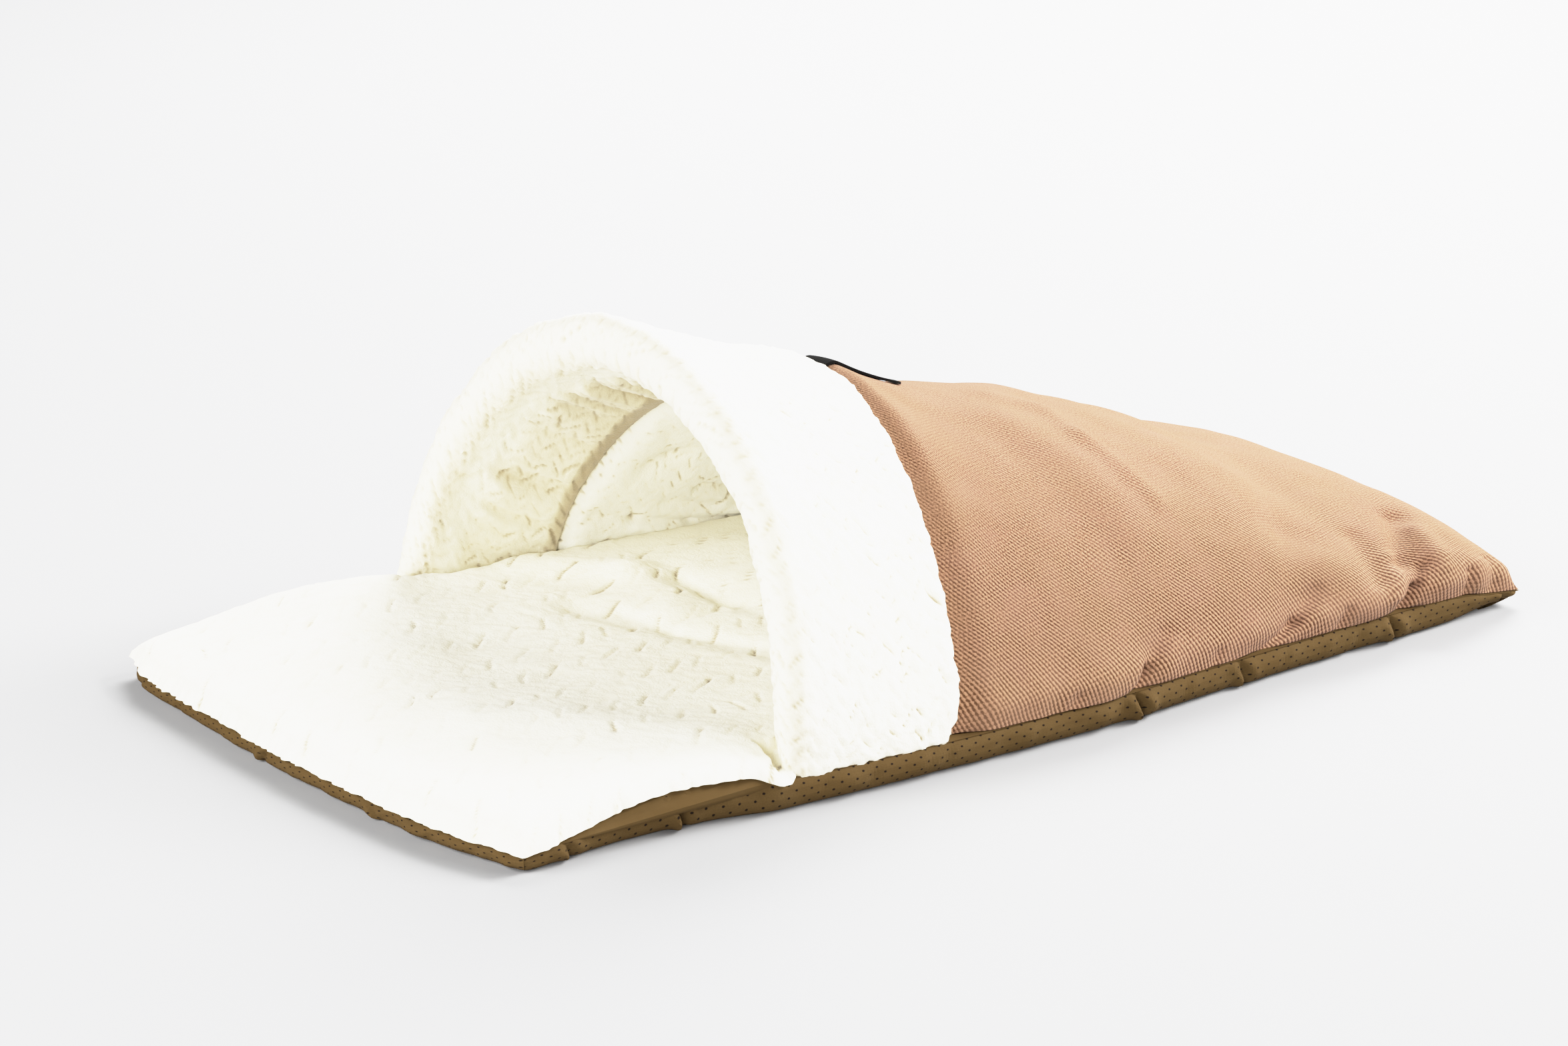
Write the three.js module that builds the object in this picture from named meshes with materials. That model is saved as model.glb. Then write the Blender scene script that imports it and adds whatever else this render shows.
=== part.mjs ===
// Dog sleeping bag bed, in millimetres, +Z up, on the floor at z = 0.
// The mouth of the hood and the open tongue of the mat look toward -Y, the closed foot
// end toward +Y, and +X is the near side. The origin lies under the middle of the bed.
// A filled mat carries a padded hood, which is sewn to the mat along both long sides and
// across the foot end. A plush cuff wraps the front edge of the hood, inside and out.
import * as THREE from 'three';

// Overall sizes
const BED_FRONT = -440;
const BED_REAR = 449.5;
const SEW_GAP = 0.4;

// Shift that brings the origin under the middle of the bed's outline
const MIDDLE_X = 4.7;
const MIDDLE_Y = 0.7;

// Mat
const PLUSH_THICK = 8;
const PLUSH_EDGE = 5;
const PLUSH_TUCKED_EDGE = 3;
const PLUSH_OVERHANG = 3;
const TONGUE_END = -234.4;
const RIM_START = -232;
const FOOT_WIDTH = 27.4;
const PLUSH_REAR = 407;
const ROLL_WIDTH = 30;
const END_ROLL = 34;
const FLOOR_ROLL = 18;
const BOW_END = -330;
const RIM_FULL = -186;
const PINCH_REACH = 15;

// Hood wall, measured inward from the outer skin of the hood. Where the hood is lower than
// FULL_RISE its wall thins out toward the foot end.
const WALL = 25;
const FULL_RISE = 57;
const CUFF_SKIN = 9.3;
const CLOTH_TOP = 9.7;
const CLOTH_INNER = 15.4;
const LINING_OUTER = 15.8;
const CROWN_EXTRA = 0.25;
const CROWN_FADE = { from: -60, to: 60 };
const REAR_TURN = { from: 330, to: 449 };
const REAR_GAP = { extra: 0.3, from: 370, to: 390 };
const ARCH_STEPS = 26;

// Folds fade in behind the cuff and out at the foot end; a radian of arch is taken as
// ARCH_RADIUS millimetres
const FOLD_START = { from: -86, to: -30 };
const FOLD_END = { from: 449, to: 429 };
const ARCH_RADIUS = 175;

// Cuff, as distances along the side seam
const LIP_FRONT = -231;
const CUFF_REAR = -86;
const CUFF_INNER_REAR = -110.4;
const LINING_START = -110;
const CLOTH_START = -206;
const CLOTH_FULL = -58;
const INNER_LEG_END = -120;

// The lip is stuffed fuller than the wall, which fades out along the inner leg
const LIP_EXTRA = 5.5;
const LIP_SPREAD = 0.6;
const LIP_FADE = { from: -215, to: -125 };

// Label patch on the crown, right behind the cuff
const LABEL_THICK = 1.8;
const LABEL_ENDS = [
  { t: -77, trim: 0.1 },
  { t: -74, trim: 0.03 },
  { t: 19, trim: 0.02 },
  { t: 23, trim: 0.08 },
  { t: 26, trim: 0.2 },
  { t: 27, trim: 0.34 },
];

// Height of the sewn seam above the floor, straight between its rows
const SEAM = [
  { y: -450, z: 12 },
  { y: -419, z: 11.5 },
  { y: -405, z: 12.5 },
  { y: -386, z: 15.5 },
  { y: -360, z: 20 },
  { y: -330, z: 25 },
  { y: -301, z: 28 },
  { y: -256, z: 27.5 },
  { y: -234.4, z: 24 },
  { y: -200, z: 21.5 },
  { y: -134, z: 21 },
  { y: 395, z: 21 },
  { y: 420, z: 19.2 },
  { y: 449.5, z: 13 },
];

// Plan of the seam: how far the near and the far edge lie from the middle line
const OUTLINE = [
  { y: -440, near: 233, far: 239 },
  { y: -400, near: 229, far: 240 },
  { y: -360, near: 226, far: 244 },
  { y: -320, near: 225, far: 247 },
  { y: -280, near: 228, far: 248 },
  { y: -250, near: 233.5, far: 243.5 },
  { y: -232, near: 238.5, far: 239.4 },
  { y: -134, near: 239.5, far: 239.5 },
  { y: -86, near: 239.5, far: 239.5 },
  { y: 19, near: 237, far: 237 },
  { y: 142, near: 225, far: 225 },
  { y: 230, near: 217, far: 217 },
  { y: 310, near: 210, far: 210 },
  { y: 390, near: 206, far: 206 },
  { y: 449.5, near: 200, far: 200 },
];

// Bow of the front edge: shift along y across the width, from the far to the near corner
const FRONT_BOW = [
  { u: -1, shift: 7 },
  { u: -0.8, shift: -6 },
  { u: -0.1, shift: -10 },
  { u: 0.6, shift: -1 },
  { u: 1, shift: 21 },
];

// Height of the filling under the plush, along the bed
const FILL = [
  { y: -440, z: 24 },
  { y: -400, z: 26.5 },
  { y: -350, z: 30 },
  { y: -300, z: 32 },
  { y: -100, z: 31 },
  { y: 100, z: 31 },
  { y: 300, z: 29 },
  { y: 400, z: 25 },
  { y: 449.5, z: 20 },
];

// Soft troughs (negative) and swells (positive) lying in the top of the mat
const MAT_FOLDS = [
  { x1: 60, y1: -350, x2: 190, y2: -240, wide: 26, high: 5 },
  { x1: -208, y1: -330, x2: -212, y2: -250, wide: 26, high: 4.5 },
  { x1: -65, y1: -263, x2: -20, y2: -290, wide: 52, high: -5 },
  { x1: -98, y1: -73, x2: -24, y2: -66, wide: 16, high: -5 },
  { x1: -89, y1: -167, x2: 65, y2: -115, wide: 16, high: -5 },
  { x1: 40, y1: 80, x2: -120, y2: 140, wide: 30, high: -4 },
];

// Sections of the hood along the side seam: half the width at the foot, how far the crown
// leans back and how that lean is spread, the height of the crown, how tent-like the arch
// is and how much its flanks swell out
const HOOD = [
  { t: -245, half: 238, lean: 33, spread: 0.81, crown: 272, tent: 1, swell: 0.02 },
  { t: -225, half: 238, lean: 33, spread: 0.81, crown: 267, tent: 1.02, swell: 0.02 },
  { t: -175, half: 238.3, lean: 38, spread: 1.13, crown: 246, tent: 1.2, swell: 0.02 },
  { t: -86, half: 238.5, lean: 51, spread: 1.5, crown: 216.5, tent: 1.5, swell: 0.02 },
  { t: 19, half: 236, lean: 11, spread: 1.5, crown: 183.5, tent: 1.3, swell: 0.02 },
  { t: 142, half: 224, lean: 4, spread: 1.5, crown: 164, tent: 1.17, swell: 0.02 },
  { t: 230, half: 216, lean: 0, spread: 1.5, crown: 134, tent: 1, swell: 0.02 },
  { t: 310, half: 209, lean: 0, spread: 1.5, crown: 96, tent: 0.8, swell: 0.02 },
  { t: 390, half: 205, lean: 0, spread: 1.5, crown: 78, tent: 0.55, swell: 0.01 },
  { t: 425, half: 201.5, lean: 0, spread: 1.5, crown: 58, tent: 0.5, swell: 0 },
  { t: 441, half: 200, lean: 0, spread: 1.5, crown: 34, tent: 0.5, swell: 0 },
  { t: 449, half: 199, lean: 0, spread: 1.5, crown: 13.1, tent: 0.5, swell: 0 },
];
const HOOD_ROWS = [
  -206, -182, -158, -134, -110, -86, -74, -58, -34, -8, 18, 46, 75, 104, 132, 162, 194, 228,
  260, 292, 322, 350, 374, 395, 420, 434, 443, 449,
];

// Folds of the hood: along the seam (t) and up the arch in degrees, as drawn between two ends
const HOOD_FOLDS = [
  { t1: 104, a1: 78, t2: 140, a2: 46, wide: 20, high: -5 },
  { t1: 76, a1: 74, t2: 104, a2: 44, wide: 24, high: 4 },
  { t1: 72, a1: 14, t2: 62, a2: 0, wide: 18, high: -6 },
  { t1: 40, a1: 10, t2: 36, a2: 3, wide: 26, high: 4 },
  { t1: 170, a1: 2, t2: 228, a2: 14, wide: 20, high: -5 },
  { t1: 262, a1: 26, t2: 292, a2: 8, wide: 28, high: 6 },
  { t1: 352, a1: 40, t2: 322, a2: 3, wide: 20, high: -10 },
  { t1: 372, a1: 16, t2: 366, a2: 6, wide: 20, high: 5 },
  { t1: 395, a1: 8, t2: 391, a2: 0, wide: 14, high: -5 },
  { t1: 120, a1: 108, t2: 210, a2: 126, wide: 26, high: -5 },
  { t1: 300, a1: 150, t2: 344, a2: 174, wide: 22, high: -8 },
  { t1: 90, a1: 168, t2: 82, a2: 178, wide: 20, high: -5 },
  { t1: 260, a1: 90, t2: 330, a2: 76, wide: 34, high: 4 },
];

// Pinches where the underside cloth is gathered into the seam
const PUCKERS = [
  { x: 238, y: -386, deep: 3 },
  { x: 225, y: -301, deep: 6 },
  { x: 237, y: 66, deep: 5 },
  { x: 223, y: 167, deep: 3 },
  { x: 210, y: 316, deep: 4 },
  { x: 201, y: 436, deep: 3 },
  { x: -30, y: -450, deep: 3 },
  { x: 98, y: -444, deep: 3 },
  { x: -244, y: -330, deep: 4 },
  { x: -237, y: 22, deep: 4 },
  { x: -218, y: 216, deep: 4 },
  { x: 60, y: 449, deep: 4 },
  { x: -110, y: 449, deep: 4 },
];

const MAT_ROWS = [
  -440, -424, -405, -386, -360, -330, -301, -278, -256, TONGUE_END, RIM_START, -200, -168,
  -134, -100, -60, -20, 22, 66, 116, 167, 216, 266, 316, 352, 378, 395, PLUSH_REAR,
  420, 436, BED_REAR,
];
const MAT_COLUMNS = [0, 4, 13, FOOT_WIDTH, 37, 58, 90, 132, 184];

// Small helpers

const clamp01 = (v) => Math.min(1, Math.max(0, v));
const mix = (a, b, f) => a + (b - a) * f;
const ease = (v, from, to) => {
  const f = clamp01((v - from) / (to - from));
  return f * f * (3 - 2 * f);
};
const rising = (v, run) => ease(v, run.from, run.to);
const fading = (v, run) => 1 - rising(v, run);
const swellUp = (f) => Math.sqrt(1 - (1 - clamp01(f)) ** 2);

// Straight reading of one column of a table
function straight(table, key, at, value) {
  let i = 1;
  while (i < table.length - 1 && table[i][at] < value) i += 1;
  const a = table[i - 1];
  const b = table[i];
  return mix(a[key], b[key], clamp01((value - a[at]) / (b[at] - a[at])));
}

// Slope of a table at row i that never overshoots its rows
function slopeAt(table, key, at, i) {
  const step = (k) => (table[k + 1][key] - table[k][key]) / (table[k + 1][at] - table[k][at]);
  if (i === 0) return step(0);
  if (i === table.length - 1) return step(i - 1);
  const before = step(i - 1);
  const after = step(i);
  return before * after <= 0 ? 0 : (2 * before * after) / (before + after);
}

// Smooth reading of one column of a table
function curved(table, key, at, value) {
  let i = 1;
  while (i < table.length - 1 && table[i][at] < value) i += 1;
  const a = table[i - 1];
  const b = table[i];
  const run = b[at] - a[at];
  const f = clamp01((value - a[at]) / run);
  const g = 1 - f;
  return (
    a[key] * (1 + 2 * f) * g * g + slopeAt(table, key, at, i - 1) * run * f * g * g +
    b[key] * f * f * (3 - 2 * f) - slopeAt(table, key, at, i) * run * f * f * g
  );
}

// Height of a rounded fold drawn between two ends, at the point (x, y)
function foldHeight(x, y, x1, y1, x2, y2, wide, high) {
  const dx = x2 - x1;
  const dy = y2 - y1;
  const f = clamp01(((x - x1) * dx + (y - y1) * dy) / (dx * dx + dy * dy));
  const far = Math.hypot(x - x1 - dx * f, y - y1 - dy * f) / wide;
  return high * Math.exp(-far * far);
}

const seamHeight = (y) => straight(SEAM, 'z', 'y', y);

// A solid from a list of points and a list of triangles
function solid(name, points, faces, material) {
  const geometry = new THREE.BufferGeometry();
  const flat = points.flatMap((p) => [p.x, p.y, p.z]);
  geometry.setAttribute('position', new THREE.Float32BufferAttribute(flat, 3));
  geometry.setIndex(faces.flat());
  geometry.computeVertexNormals();
  const mesh = new THREE.Mesh(geometry, material);
  mesh.name = name;
  return mesh;
}

// Two triangles between four corners, in turning order
const quad = (a, b, c, d) => [[a, b, c], [a, c, d]];

// Mat

// A point of the mat's grid: row y before the front bow, and distance d in from one edge
function matPlan(y, side, d) {
  const near = curved(OUTLINE, 'near', 'y', y);
  const far = curved(OUTLINE, 'far', 'y', y);
  const x = d === null ? (near - far) / 2 : side > 0 ? near - d : d - far;
  const u = x > 0 ? x / near : x / far;
  const bow = curved(FRONT_BOW, 'shift', 'u', u) * (1 - ease(y, BED_FRONT, BOW_END));
  return { x, y: y + bow, row: y, inset: d === null ? near : d };
}

// Top of the filling: rolled edges on the tongue, a flat rim where the hood is sewn on
function fillTop(p) {
  const seam = seamHeight(p.y);
  let full = curved(FILL, 'z', 'y', p.y);
  for (const f of MAT_FOLDS) {
    full += foldHeight(p.x, p.y, f.x1, f.y1, f.x2, f.y2, f.wide, f.high);
  }
  const front = swellUp((p.row - BED_FRONT) / END_ROLL);
  const rear = swellUp((PLUSH_REAR - p.row) / END_ROLL);
  const tongue = swellUp(p.inset / ROLL_WIDTH) * front;
  const inside = swellUp((p.inset - FOOT_WIDTH) / FLOOR_ROLL) * rear;
  const under = p.inset <= FOOT_WIDTH;
  const share = under ? Number(p.row >= RIM_START) : ease(p.row, RIM_START, RIM_FULL);
  return seam + (full - seam) * mix(tongue, inside, share);
}

// The grid of the mat, from the near edge across to the far edge
function matGrid() {
  const across = [
    ...MAT_COLUMNS.map((d) => [1, d]), [1, null], ...[...MAT_COLUMNS].reverse().map((d) => [-1, d]),
  ];
  return MAT_ROWS.map((y) => across.map(([side, d]) => {
    const p = matPlan(y, side, d);
    return { ...p, z: fillTop(p) };
  }));
}

// Cells of the grid that a piece covers, its rim of grid points and the rim's directions
function cover(grid, used) {
  const cells = [];
  const edges = new Map();
  const wide = grid[0].length;
  const key = (i, j) => i * wide + j;
  const has = (i, j) => i >= 0 && j >= 0 && i < grid.length - 1 && j < wide - 1 && used(i, j);
  for (let i = 0; i < grid.length - 1; i += 1) {
    for (let j = 0; j < wide - 1; j += 1) {
      if (!has(i, j)) continue;
      cells.push([key(i, j), key(i + 1, j), key(i + 1, j + 1), key(i, j + 1)]);
      if (!has(i, j - 1)) edges.set(key(i, j), key(i + 1, j));
      if (!has(i + 1, j)) edges.set(key(i + 1, j), key(i + 1, j + 1));
      if (!has(i, j + 1)) edges.set(key(i + 1, j + 1), key(i, j + 1));
      if (!has(i - 1, j)) edges.set(key(i, j + 1), key(i, j));
    }
  }
  const rim = [edges.keys().next().value];
  while (edges.get(rim.at(-1)) !== rim[0]) rim.push(edges.get(rim.at(-1)));
  return { cells, rim };
}

// Outward direction in plan at each point of a closed rim that runs with the piece on its left
function outward(rim, flatGrid) {
  return rim.map((k, n) => {
    const a = flatGrid[rim.at(n - 1)];
    const b = flatGrid[rim[(n + 1) % rim.length]];
    const long = Math.hypot(b.x - a.x, b.y - a.y);
    return { x: (b.y - a.y) / long, y: (a.x - b.x) / long };
  });
}

function pinchAt(p) {
  let deep = 0;
  for (const k of PUCKERS) {
    if (Math.hypot(p.x - k.x, p.y - k.y) < PINCH_REACH) deep = Math.max(deep, k.deep);
  }
  return deep;
}

// The filled mat in its underside cloth: flat below, sides drawn up to the seam
function filledMat(grid) {
  const flatGrid = grid.flat();
  const points = flatGrid.map((p) => new THREE.Vector3(p.x, p.y, p.z));
  const { cells, rim } = cover(grid, () => true);
  const faces = cells.flatMap(([a, b, c, d]) => quad(a, b, c, d));
  const out = outward(rim, flatGrid);
  const levels = [
    { share: 0.66, out: 2, pinch: 1 },
    { share: 0.24, out: 0.5, pinch: 0.8 },
    { share: 0, out: -7, pinch: 0.2 },
  ];
  let above = rim;
  for (const level of levels) {
    const ring = rim.map((k, n) => {
      const p = flatGrid[k];
      const far = level.out - pinchAt(p) * level.pinch;
      const height = seamHeight(p.y) * level.share;
      points.push(new THREE.Vector3(p.x + out[n].x * far, p.y + out[n].y * far, height));
      return points.length - 1;
    });
    ring.forEach((k, n) => {
      const m = (n + 1) % ring.length;
      faces.push(...quad(above[n], k, ring[m], above[m]));
    });
    above = ring;
  }
  const middle = points.push(new THREE.Vector3(0, 0, 0)) - 1;
  above.forEach((k, n) => faces.push([middle, above[(n + 1) % above.length], k]));
  return { points, faces };
}

// The plush top of the mat: one sheet, narrower where it runs in under the hood
function plushTop(grid) {
  const flatGrid = grid.flat();
  const tongue = MAT_ROWS.indexOf(TONGUE_END);
  const rear = MAT_ROWS.indexOf(PLUSH_REAR);
  const tucked = MAT_COLUMNS.indexOf(FOOT_WIDTH);
  const last = grid[0].length - 2;
  const used = (i, j) => i < tongue || (i < rear && j >= tucked && j <= last - tucked);
  const { cells, rim } = cover(grid, used);
  const onRim = new Set(rim);
  const points = [];
  const low = new Map();
  const high = new Map();
  for (const k of new Set(cells.flat())) {
    const p = flatGrid[k];
    const edge = p.row < TONGUE_END ? PLUSH_EDGE : PLUSH_TUCKED_EDGE;
    const thick = onRim.has(k) ? edge : PLUSH_THICK;
    low.set(k, points.push(new THREE.Vector3(p.x, p.y, p.z + SEW_GAP)) - 1);
    high.set(k, points.push(new THREE.Vector3(p.x, p.y, p.z + SEW_GAP + thick)) - 1);
  }
  const faces = cells.flatMap(([a, b, c, d]) => [
    ...quad(high.get(a), high.get(b), high.get(c), high.get(d)),
    ...quad(low.get(a), low.get(d), low.get(c), low.get(b)),
  ]);
  const out = outward(rim, flatGrid);
  const middle = rim.map((k, n) => {
    const p = flatGrid[k];
    const far = p.row < TONGUE_END ? PLUSH_OVERHANG : 0;
    const z = p.z + SEW_GAP + (p.row < TONGUE_END ? PLUSH_EDGE : PLUSH_TUCKED_EDGE) * 0.45;
    return points.push(new THREE.Vector3(p.x + out[n].x * far, p.y + out[n].y * far, z)) - 1;
  });
  rim.forEach((k, n) => {
    const m = (n + 1) % rim.length;
    faces.push(...quad(high.get(k), middle[n], middle[m], high.get(rim[m])));
    faces.push(...quad(middle[n], low.get(k), low.get(rim[m]), middle[m]));
  });
  return { points, faces };
}

// Hood

// The hood's folds at t along the seam and angle a up the arch
function hoodFold(t, a) {
  const up = ARCH_RADIUS * a;
  const high = (deg) => (ARCH_RADIUS * deg * Math.PI) / 180;
  let sum = 0;
  for (const f of HOOD_FOLDS) {
    sum += foldHeight(t, up, f.t1, high(f.a1), f.t2, high(f.a2), f.wide, f.high);
  }
  return sum;
}

// A point of the hood wall: t along the side seam, angle a up the arch, depth d inward
function hoodPoint(t, a, depth) {
  const read = (key) => curved(HOOD, key, 't', t);
  const rise = Math.max(0, read('crown') - seamHeight(t));
  const shrink = Math.min(1, rise / FULL_RISE);
  const free = rising(t, FOLD_START) * rising(t, FOLD_END) * Math.max(0, 1 - depth / WALL);
  const thicker = CROWN_EXTRA * fading(t, CROWN_FADE) * Math.sin(a) ** 2;
  const d = depth * (1 + thicker) - hoodFold(t, a) * free;
  const q = Math.abs(Math.sin(a)) < 1e-9 ? 0 : Math.sin(a) ** read('tent');
  const foot = t - depth * rising(t, REAR_TURN);
  const half = curved(HOOD, 'half', 't', foot) - d;
  const x = Math.cos(a) * half * (1 + read('swell') * 4 * q * (1 - q));
  const y = foot + read('lean') * q ** read('spread');
  const gap = SEW_GAP + REAR_GAP.extra * rising(foot, REAR_GAP);
  const z = seamHeight(foot) + gap + Math.max(0, rise - d * shrink) * q;
  return new THREE.Vector3(x, y, z);
}

// A wall of the hood between an outer and an inner depth, both given along the seam
function hoodShell(rows, outer, inner) {
  const across = ARCH_STEPS + 1;
  const points = [];
  for (const depth of [outer, inner]) {
    for (const t of rows) {
      for (let j = 0; j < across; j += 1) {
        points.push(hoodPoint(t, (Math.PI * j) / ARCH_STEPS, depth(t)));
      }
    }
  }
  const inside = rows.length * across;
  const faces = [];
  for (let i = 0; i < rows.length - 1; i += 1) {
    const a = i * across;
    const b = a + across;
    for (let j = 0; j < ARCH_STEPS; j += 1) {
      faces.push(...quad(a + j, b + j, b + j + 1, a + j + 1));
      faces.push(...quad(inside + a + j, inside + a + j + 1, inside + b + j + 1, inside + b + j));
    }
    faces.push(...quad(a, inside + a, inside + b, b));
    const end = ARCH_STEPS;
    faces.push(...quad(a + end, b + end, inside + b + end, inside + a + end));
  }
  const back = (rows.length - 1) * across;
  for (let j = 0; j < ARCH_STEPS; j += 1) {
    faces.push(...quad(j, j + 1, inside + j + 1, inside + j));
    faces.push(...quad(back + j, inside + back + j, inside + back + j + 1, back + j + 1));
  }
  return { points, faces };
}

// How deep the tan cloth lies: under the cuff, then swelling out behind it
const clothOuter = (t) => CLOTH_TOP * (1 - ease(t, CUFF_REAR, CLOTH_FULL));

// How much deeper the outside of the cuff lies at the lip and the front of its inner leg
const lipExtra = (t, a, depth) => (
  LIP_EXTRA * Math.abs(Math.sin(a)) ** LIP_SPREAD * fading(t, LIP_FADE) * (depth / WALL)
);

// Section of the cuff as distance along the seam and depth: its outside runs from the outer
// leg over the rolled lip to the inner leg, and its slot holds the front edge of the cloth
function cuffSection() {
  const legs = HOOD_ROWS.filter((t) => t < CUFF_REAR);
  const inner = legs.filter((t) => t < INNER_LEG_END);
  const roll = WALL / 2;
  const outside = [[CUFF_REAR, CUFF_SKIN], [CUFF_REAR + 1, 5], [CUFF_REAR - 1, 1.6]];
  outside.push([CUFF_REAR - 6, 0]);
  for (const t of [...legs].reverse()) outside.push([t, 0]);
  for (const deg of [60, 35, 12, -12, -35, -60]) {
    const turn = (deg * Math.PI) / 180;
    const reach = LIP_FRONT + roll - roll * Math.cos(turn);
    outside.push([reach, roll - roll * Math.sin(turn)]);
  }
  for (const t of inner) outside.push([t, WALL]);
  outside.push([CUFF_INNER_REAR - 4, WALL], [CUFF_INNER_REAR, WALL - 3]);
  outside.push([CUFF_INNER_REAR, LINING_OUTER]);
  const slot = [...legs].reverse().map((t) => [t, CUFF_SKIN]);
  slot.push([CLOTH_START - 1, CUFF_SKIN], [CLOTH_START - 1, LINING_OUTER]);
  for (const t of inner) slot.push([t, LINING_OUTER]);
  return { outside, slot };
}

// Triangles that fill the ribbon between two chains of points, always across the short way
function fillBetween(left, right, leftIndex, rightIndex) {
  const span = (a, b) => (a && b ? Math.hypot(a[0] - b[0], a[1] - b[1]) : Infinity);
  const faces = [];
  let i = 0;
  let j = 0;
  while (i < left.length - 1 || j < right.length - 1) {
    if (span(left[i + 1], right[j]) < span(left[i], right[j + 1])) {
      faces.push([leftIndex(i), leftIndex(i + 1), rightIndex(j)]);
      i += 1;
    } else {
      faces.push([leftIndex(i), rightIndex(j + 1), rightIndex(j)]);
      j += 1;
    }
  }
  return faces;
}

// The cuff: its section carried over the arch and closed at both feet
function plushCuff() {
  const { outside, slot } = cuffSection();
  const section = [...outside, ...[...slot].reverse()];
  const count = section.length;
  const points = [];
  for (let j = 0; j <= ARCH_STEPS; j += 1) {
    const a = (Math.PI * j) / ARCH_STEPS;
    for (const [t, depth] of outside) points.push(hoodPoint(t, a, depth + lipExtra(t, a, depth)));
    for (const [t, depth] of [...slot].reverse()) points.push(hoodPoint(t, a, depth));
  }
  const faces = [];
  for (let j = 0; j < ARCH_STEPS; j += 1) {
    for (let n = 0; n < count; n += 1) {
      const m = (n + 1) % count;
      const turn = [j * count + n, (j + 1) * count + n, (j + 1) * count + m, j * count + m];
      if (section[m][0] < section[n][0]) turn.push(turn.shift());
      faces.push(...quad(...turn));
    }
  }
  const end = ARCH_STEPS * count;
  const caps = fillBetween(outside, slot, (i) => i, (j) => count - 1 - j);
  for (const [a, b, c] of caps) faces.push([a, b, c], [end + c, end + b, end + a]);
  return { points, faces };
}

// The label patch: flat across, following the crown of the hood lengthwise
function labelPatch() {
  const arch = Math.PI / ARCH_STEPS;
  const left = (ARCH_STEPS / 2) * arch;
  const onCloth = (t, u, lift) => {
    const i = HOOD_ROWS.findIndex((row) => row > t);
    const f = (t - HOOD_ROWS[i - 1]) / (HOOD_ROWS[i] - HOOD_ROWS[i - 1]);
    const ends = [HOOD_ROWS[i - 1], HOOD_ROWS[i]].map((row) => {
      const a = hoodPoint(row, left, clothOuter(row) - lift);
      return a.lerp(hoodPoint(row, left + arch, clothOuter(row) - lift), u);
    });
    return ends[0].lerp(ends[1], f);
  };
  const between = HOOD_ROWS.filter((t) => t > LABEL_ENDS[1].t && t < LABEL_ENDS[2].t);
  const rows = [
    ...LABEL_ENDS.slice(0, 2), ...between.map((t) => ({ t, trim: LABEL_ENDS[2].trim })),
    ...LABEL_ENDS.slice(2),
  ];
  const points = [];
  for (const lift of [SEW_GAP, SEW_GAP + LABEL_THICK]) {
    for (const { t, trim } of rows) {
      points.push(onCloth(t, trim, lift), onCloth(t, 1 - trim, lift));
    }
  }
  const up = rows.length * 2;
  const faces = [];
  for (let i = 0; i < rows.length - 1; i += 1) {
    const a = i * 2;
    faces.push(...quad(up + a, up + a + 2, up + a + 3, up + a + 1));
    faces.push(...quad(a, a + 1, a + 3, a + 2));
    faces.push(...quad(a, a + 2, up + a + 2, up + a));
    faces.push(...quad(a + 1, up + a + 1, up + a + 3, a + 3));
  }
  const end = up - 2;
  faces.push(...quad(0, up, up + 1, 1), ...quad(end, end + 1, up + end + 1, up + end));
  return { points, faces };
}

// Materials and assembly

const fabric = (color, roughness) => (
  new THREE.MeshStandardMaterial({ color, roughness, metalness: 0 })
);
const plush = fabric(0xf6f2e6, 0.95);
const lining = fabric(0xf0e9d6, 0.95);
const twill = fabric(0xc9976f, 0.9);
const underside = fabric(0x7d6240, 0.85);
const patch = fabric(0x121212, 0.8);

const grid = matGrid();
const liningRows = [LINING_START, ...HOOD_ROWS.filter((t) => t > LINING_START + 5)];
const pieces = [
  ['filled_mat_underside', filledMat(grid), underside],
  ['mat_plush_top', plushTop(grid), plush],
  ['hood_outer_cloth', hoodShell(HOOD_ROWS, clothOuter, () => CLOTH_INNER), twill],
  ['hood_plush_lining', hoodShell(liningRows, () => LINING_OUTER, () => WALL), lining],
  ['mouth_cuff', plushCuff(), plush],
  ['label_patch', labelPatch(), patch],
];

const bed = new THREE.Group();
bed.position.set(MIDDLE_X, MIDDLE_Y, 0);
for (const [name, { points, faces }, material] of pieces) {
  bed.add(solid(name, points, faces, material));
}

export default bed;
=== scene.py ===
# %% [markdown]
# # A dog sleeping bag bed
# The bed is a flat filled mat with a padded hood sewn along both long sides and the foot
# end. White plush covers the mat, lines the hood and turns over its mouth as a wide cuff.
# The outside of the hood is tan twill and the underside is brown cloth with grip dots.
# Each piece is modelled on its own, in metres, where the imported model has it.

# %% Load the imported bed
import math

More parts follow.
